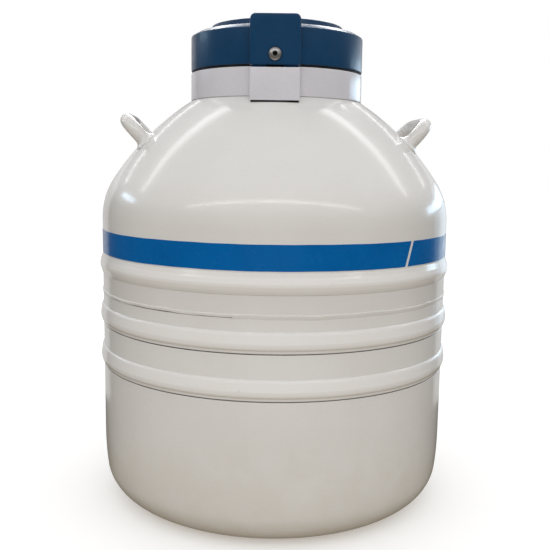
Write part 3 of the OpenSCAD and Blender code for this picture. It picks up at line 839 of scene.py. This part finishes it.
def lid_outline(inset):
    """The lid's outline, inset inside its outer surface."""
    return [
        (COLLAR_R - 0.0008 - inset * 0.8, LID_LOW), (COLLAR_R - inset, LID_LOW + 0.0008),
        (COLLAR_R - inset, LID_EDGE - inset * 0.3),
        (COLLAR_R - CHAMFER_IN - inset * 0.6, DECK_Z - inset), (DOME_R + 0.0012 - inset, DECK_Z - inset),
        (DOME_R - inset, LID_TOP - 0.0006 - inset), (DOME_R - 0.0035 - inset, LID_TOP - inset),
        (0, LID_TOP - inset)]


def lid():
    outline = rounded(lid_outline(0), 0.0022, 5, closed=False) + lid_outline(MOULD_T)[::-1]
    cover = lathe("lid_cover_moulding", outline)
    block = lock_block()
    shell_in = COLLAR_R - MOULD_T
    core = lathe("core", [(0, BLOCK_LOW - 0.01), (shell_in, BLOCK_LOW - 0.01),
                          (shell_in, DECK_Z - MOULD_T), (0, DECK_Z - MOULD_T)])
    carve(block, core)
    carve(cover, block, "UNION")
    tongue_low, tongue_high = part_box("lock_tongue")
    carve(cover, slab("pocket", (tongue_low.x - 0.004, tongue_low.y, BLOCK_LOW - 0.001),
                      (tongue_high.x + 0.004, 0.001 - COLLAR_R, tongue_high.z + 0.001)))
    # a lip under the block closes the gap behind its face, and lets the tongue through
    lip = slab("lip", (0.003 - LOCK_W / 2, LOCK_Y + 0.0075, TAB_TOP + 0.0006),
               (LOCK_W / 2 - 0.003, LOCK_Y + 0.0095, BLOCK_LOW + 0.002))
    carve(lip, slab("way", (tongue_low.x - TONGUE_PLAY, LOCK_Y, TAB_TOP),
                    (tongue_high.x + TONGUE_PLAY, -0.100, BLOCK_LOW + 0.003)))
    carve(cover, lip, "UNION")
    bore = lathe("bore", [(0, -0.006), (SHANK_HOLE, -0.006), (SHANK_HOLE, -0.0008), (0.0096, -0.0008),
                          (0.0096, 0.004), (0, 0.004)], 96)
    carve(cover, moved(bore, lock_place()))
    piece(cover, LID_PLASTIC, "lid", "lid_plastic", "lid_cover")


def lock_place():
    return Matrix.Translation((0, LOCK_Y, SCREW_Z)) @ Matrix.Rotation(math.radians(90), 4, "X")


def lock_block():
    """The block that carries the lock, with round shoulders and softened edges."""
    half = LOCK_W / 2
    top = BLOCK_TOP - BLOCK_CORNER
    outline = [(half, BLOCK_LOW)] + arc((half - BLOCK_CORNER, top), BLOCK_CORNER, 0, 90, 8)
    outline += [(-x, z) for x, z in reversed(outline)]
    front, back = LOCK_Y, BLOCK_BACK
    corners = [(x, y, z) for y in (front, back) for x, z in outline]
    count = len(outline)
    faces = [list(range(count)), list(range(2 * count - 1, count - 1, -1))]
    for k in range(count):
        n = (k + 1) % count
        faces.append([k, k + count, n + count, n])
    block = shape("block", corners, faces)
    work = bmesh.new()
    work.from_mesh(block.data)
    rim = [e for e in work.edges if all(abs(v.co.y - front) < 1e-6 for v in e.verts)]
    bmesh.ops.bevel(work, geom=rim, offset=0.0020, segments=5, profile=0.5, affect="EDGES")
    work.to_mesh(block.data)
    work.free()
    finished(block.data)
    return block


def lock():
    place = lock_place()
    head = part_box("lock_screw")
    head_r = (head[1].x - head[0].x) / 2
    screw = socket_screw("lock_button_screw", head_r, LOCK_Y - head[0].y, SHANK_R,
                         head[1].y - LOCK_Y, LOCK_KEY, round_top=True)
    piece(moved(screw, place), LOCK_STEEL, "lid", "steel", "lock_screw")
    nut_low, nut_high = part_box("lock_nut")
    wide = (nut_high.x - nut_low.x) / 2
    nut = lathe("lock_hex_nut", [(SHANK_R, 0), (wide, 0), (wide, nut_high.y - nut_low.y),
                                 (SHANK_R, nut_high.y - nut_low.y)], 6)
    corner = [(0, -0.001), (wide * 0.90, -0.001), (wide * 1.01, 0.0012), (wide * 1.01, 0.0038),
              (wide * 0.90, 0.006), (0, 0.006)]
    carve(nut, lathe("corner", corner, 96), "INTERSECT")
    carve(nut, lathe("thread", [(0, -0.01), (SHANK_R, -0.01), (SHANK_R, 0.01), (0, 0.01)], 64))
    back = Matrix.Translation((0, 0, LOCK_Y - nut_high.y))
    piece(moved(nut, place @ back), STEEL, "lid", "steel", "lock_nut")
    low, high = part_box("lock_tongue")
    tongue = slab("lock_tongue_strip", low, high, 0.0006, 2)
    hole = lathe("hole", [(0, -0.02), (SHANK_HOLE, -0.02), (SHANK_HOLE, 0.02), (0, 0.02)], 64)
    carve(tongue, moved(hole, place))
    # the tongue is painted near black, as painted shade in the gap
    piece(tongue, SHADE_PAINTED_STEEL, "lid", "black_steel", "lock_tongue")


def lid_inside():
    low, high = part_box("lid_gasket")
    inner, outer = high.x - 0.0067, high.x
    lip = 0.0012
    seal = [(inner, low.z + lip), (inner + 0.0011, low.z), (inner + 0.0024, low.z + lip),
            (outer - 0.0024, low.z + lip), (outer - 0.0011, low.z), (outer, low.z + lip),
            (outer, high.z), (inner, high.z)]
    piece(lathe("lid_gasket_ring", rounded(seal, 0.0006, 3)), RUBBER, "lid", "seal_rubber", "lid_gasket")
    low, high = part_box("plug_plate")
    plate = lathe("plug_plate_disc", rounded(
        [(0.020, low.z), (high.x, low.z), (high.x, high.z), (0.020, high.z)], 0.0010))
    piece(plate, WHITE_PLASTIC, "lid", "white_plastic", "plug_plate")
    heads = []
    for k in range(4):
        screw = socket_screw("s", 0.0038, 0.0025, 0.002, 0.0065, 0.0025)
        turn = about_z(45 + 90 * k) @ Matrix.Translation((0.098, 0, low.z))
        heads.append(moved(screw, turn @ Matrix.Rotation(math.pi, 4, "X")))
    piece(merged("plate_cap_screws", heads), STEEL, "lid", "steel", "plate_screws")
    low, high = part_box("neck_plug")
    wide, bevel = high.x, 0.005
    sides = [(wide, low.z + bevel)] + [(wide, low.z + 0.03 + 0.03 * i) for i in range(5)] + [(wide, high.z)]
    plug = rounded([(0, low.z), (wide - bevel, low.z)] + sides + [(0, high.z)], 0.002)
    piece(lathe("neck_plug_foam", plug), FOAM, "lid", "foam", "neck_plug")


# ---- canisters ----

def canisters():
    low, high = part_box("canister_1")
    can_r = (high.x - low.x) / 2
    can_at, can_z, can_h = 0.114, low.z, high.z - low.z
    hook_top = pick("hook_rod_1", 1, 2)
    rod_r, hook_r = 0.0015, 0.008
    rod_at = can_at - can_r - 0.0003 - rod_r
    for k in CANS:
        turn = about_z(30 + 60 * (k - 1))
        place = turn @ Matrix.Translation((can_at, 0, 0))
        wall = 0.001
        rim = arc((can_r - 0.0013, can_z + can_h - 0.0013), 0.0013, -60, 240, 12)
        outline = [(0, can_z), (can_r - 0.003, can_z), (can_r - 0.0005, can_z + 0.003),
                   (can_r - 0.0005, can_z + can_h - 0.003)]
        outline += rim + [(can_r - 0.0005 - wall, can_z + can_h - 0.006),
                          (can_r - 0.0005 - wall, can_z + 0.004),
                          (can_r - 0.0045, can_z + wall), (0, can_z + wall)]
        can = lathe("canister_%d_cup" % k, rounded(outline, 0.002, 3, over=30), 128)
        for j in range(7):
            hole = lathe("hole", [(0, can_z - 0.001), (0.004, can_z - 0.001),
                                  (0.004, can_z + 0.003), (0, can_z + 0.003)], 32)
            spot = Matrix.Translation((0.028, 0, 0)) if j else Matrix.Identity(4)
            carve(can, moved(hole, about_z(60 * j) @ spot))
        body = "canister_%d" % k
        piece(moved(can, place), CAN_STEEL, body, "canister_steel", "canister_%d" % k)
        bottom, bend_z = pick("hook_rod_%d" % k, 0, 2), hook_top - rod_r - hook_r
        path = [Vector((rod_at, 0, bottom + 0.001)), Vector((rod_at, 0, bend_z - 0.002))]
        path += [Vector((rod_at + hook_r - hook_r * math.cos(a), 0, bend_z + hook_r * math.sin(a)))
                 for a in (math.radians(15 * i) for i in range(13))]
        tag_low, tag_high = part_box("hook_tag_%d" % k)
        path.append(Vector((rod_at + 2 * hook_r, 0, tag_low.z + 0.002)))
        parts = [sweep("rod", path, rod_r, 16)]
        for z in (can_z + 0.020, can_z + can_h - 0.032):
            parts.append(slab("strap", (rod_at - 0.001, -0.004, z), (rod_at + 0.0026, 0.004, z + 0.012),
                              0.0006, 2))
        rod = moved(merged("hook_rod_%d_wire" % k, parts), turn)
        piece(rod, STEEL, body, "canister_steel", "hook_rod_%d" % k)
        tag_r, tag_z, tag_h = 0.004, tag_low.z, tag_high.z - tag_low.z
        tag = lathe("hook_tag_%d_cap" % k, rounded(
            [(0, tag_z), (tag_r, tag_z), (tag_r, tag_z + tag_h), (rod_r, tag_z + tag_h),
             (rod_r, tag_z + 0.001), (0, tag_z + 0.001)], 0.0012), 48)
        slot = list(TAG_COLOURS)[k - 1]
        colour = TAG_COLOURS[slot]
        paint = moulded(slot, tuple(c * 0.9 for c in colour), colour, 0.25, 0.00003, 0.3)
        moved(tag, turn @ Matrix.Translation((rod_at + 2 * hook_r, 0, 0)))
        piece(tag, paint, body, slot, "hook_tag_%d" % k)


def plain_nodes():
    for node in ("neck_ring", "inner_neck_ring", "inner_vessel_floor", "inner_vessel_body",
                 "inner_vessel_head"):
        dress(node, ALUMINIUM)
    dress("insulation_blanket", FOIL)
    dress("adsorbent_pack", BAG_CLOTH)
    dress("canister_spider", WHITE_PLASTIC)
    dress("port_plug", BRASS)
    dress("port_seal", RUBBER)


# ---- floor, light and camera ----

# the direction in which the room's light is measured; its full brightness, and the share of that
# which gloss reflects; and its colour from straight below (-1) to straight above (1)
ROOM_UP = (0.0, 0.08, 1.0)
ROOM_BRIGHT = 1.38
ROOM_GLOSS = 0.45
ROOM_LIGHT = [
    (-1.0, (0.27, 0.225, 0.165)), (-0.36, (0.25, 0.21, 0.155)), (-0.17, (0.10, 0.098, 0.095)),
    (0.16, (0.10, 0.10, 0.105)), (0.36, (0.96, 0.96, 0.96)), (0.66, (0.92, 0.92, 0.92)),
    (1.0, (0.46, 0.46, 0.47)),
]


def studio():
    """A pale floor, the room's soft light, and lamps that show as reflections in the gloss."""
    floor = slab("floor", (-9, -9, -0.02), (9, 9, 0))
    s = Shader("floor_paint", Specular_IOR_Level=0.2, Roughness=0.75)
    s.set(Base_Color=s.mix(s.noise(3), (0.90, 0.90, 0.895), (0.93, 0.93, 0.925)),
          Emission_Color=(1, 1, 1), Emission_Strength=0.2)
    floor.data.materials.append(s.material)
    floor.visible_diffuse = floor.visible_glossy = floor.visible_shadow = False
    room()
    strip("streaks", 1.00, 9.0, 0.30, 3.0)
    strip("chamfer", 2.45, 2.2, 1.1, 8.0)
    strip("outline", 3.80, 9.0, 0.30, 3.0)
    strip("knuckle", -2.85, 9.0, 0.20, 8.0)
    daylight = (0.60, 0.82, 1.0)
    lamp("window_right", (2.93, 2.73, 0.90), (2.6, 0.38), 4.2, (0, 0, 0.6), daylight)
    lamp("panel_right", (2.57, 3.06, 0.15), (2.0, 0.9), 0.7, (0, 0, 0.15), daylight)
    lamp("window_left", (-3.65, 1.40, 1.48), (1.3, 0.28), 5.0, (0, 0, 0.6), daylight)
    for side, way in (("left", -1), ("right", 1)):
        lamp("backdrop_%s" % side, (way * 2.0, 3.46, 0.2), (2.2, 2.4), 0.55, (0, 0, 0.2))
    # the one lamp that lights the part, and isn't reflected in it
    fill = lamp("fill_front", (0, -1.9, 0.25), (1.2, 0.9), 2.1, (0, 0, 0.2))
    fill.visible_diffuse, fill.visible_glossy = True, False


def strip(name, y, length, width, strength):
    """A strip light on the ceiling, across the room."""
    ceiling = 2.5
    lamp(name, (0, y, ceiling), (length, width), strength, (0, y, 0))


def lamp(name, middle, size, strength, aim, colour=(1, 1, 1)):
    """A rectangular light that shows only as a reflection, unless it is changed afterwards;
    strength is its brightness."""
    data = bpy.data.lights.new(name, "AREA")
    data.shape = "RECTANGLE"
    data.size, data.size_y = size
    data.energy = strength * size[0] * size[1] * math.pi
    data.color = colour
    light = bpy.data.objects.new(name, data)
    bpy.context.scene.collection.objects.link(light)
    light.location = middle
    light.rotation_mode = "QUATERNION"
    light.rotation_quaternion = (Vector(aim) - Vector(middle)).to_track_quat("-Z", "Y")
    light.visible_camera = light.visible_diffuse = False
    return light


def room():
    """Soft light from all round: warm and dim from the floor, dimmest at eye level, bright from
    above it, half as bright from straight overhead. The backdrop that shows is plain white."""
    world = bpy.data.worlds.new("studio")
    bpy.context.scene.world = world
    world.use_nodes = True
    tree = world.node_tree

    def node(kind, **settings):
        made = tree.nodes.new("ShaderNode" + kind)
        for key, value in settings.items():
            setattr(made, key, value)
        return made

    place, lean = node("TexCoord"), node("VectorMath", operation="DOT_PRODUCT")
    lean.inputs[1].default_value = ROOM_UP
    tree.links.new(place.outputs["Generated"], lean.inputs[0])
    share = node("MapRange")
    share.inputs["From Min"].default_value = -1
    tree.links.new(lean.outputs["Value"], share.inputs[0])
    ramp = node("ValToRGB")
    tree.links.new(share.outputs[0], ramp.inputs[0])
    stops = ramp.color_ramp.elements
    stops.remove(stops[1])
    stops[0].color = (*ROOM_LIGHT[0][1], 1)
    for at, colour in ROOM_LIGHT[1:]:
        stops.new((at + 1) / 2).color = (*colour, 1)
    lit, shown, mixed = node("Background"), node("Background"), node("MixShader")
    rays = node("LightPath")
    dimmed = node("Math", operation="MULTIPLY_ADD")
    dimmed.inputs[1].default_value = ROOM_BRIGHT * (ROOM_GLOSS - 1)
    dimmed.inputs[2].default_value = ROOM_BRIGHT
    tree.links.new(rays.outputs["Is Glossy Ray"], dimmed.inputs[0])
    tree.links.new(dimmed.outputs[0], lit.inputs["Strength"])
    tree.links.new(ramp.outputs[0], lit.inputs[0])
    shown.inputs[0].default_value = (1, 1, 1, 1)
    tree.links.new(rays.outputs["Is Camera Ray"], mixed.inputs[0])
    tree.links.new(lit.outputs[0], mixed.inputs[1])
    tree.links.new(shown.outputs[0], mixed.inputs[2])
    tree.links.new(mixed.outputs[0], tree.nodes["World Output"].inputs[0])


def camera():
    """Eye level just above the shoulder, a little to the right of straight ahead."""
    data = bpy.data.cameras.new("camera")
    data.lens, data.sensor_width = 51.93, 36
    eye = bpy.data.objects.new("camera", data)
    bpy.context.scene.collection.objects.link(eye)
    away, height, round_by, down, roll = 1.17925, 0.48375, 0.85, 8.09, 0.80
    eye.matrix_world = about_z(round_by) @ Matrix.Translation((0.0018, -away, height)) \
        @ Matrix.Rotation(math.radians(90 - down), 4, "X") @ Matrix.Rotation(math.radians(roll), 4, "Z")
    bpy.context.scene.camera = eye
    bpy.context.scene.view_settings.view_transform = "Standard"


camera()
studio()
shell_lower()
shell_upper()
weld()
stripe()
handle("right", HANDLE_TURN)
handle("left", 180 + HANDLE_TURN)
collar()
collar_screws()
index_ring()
neck_tube()
port()
lid()
lock()
lid_inside()
canisters()
plain_nodes()
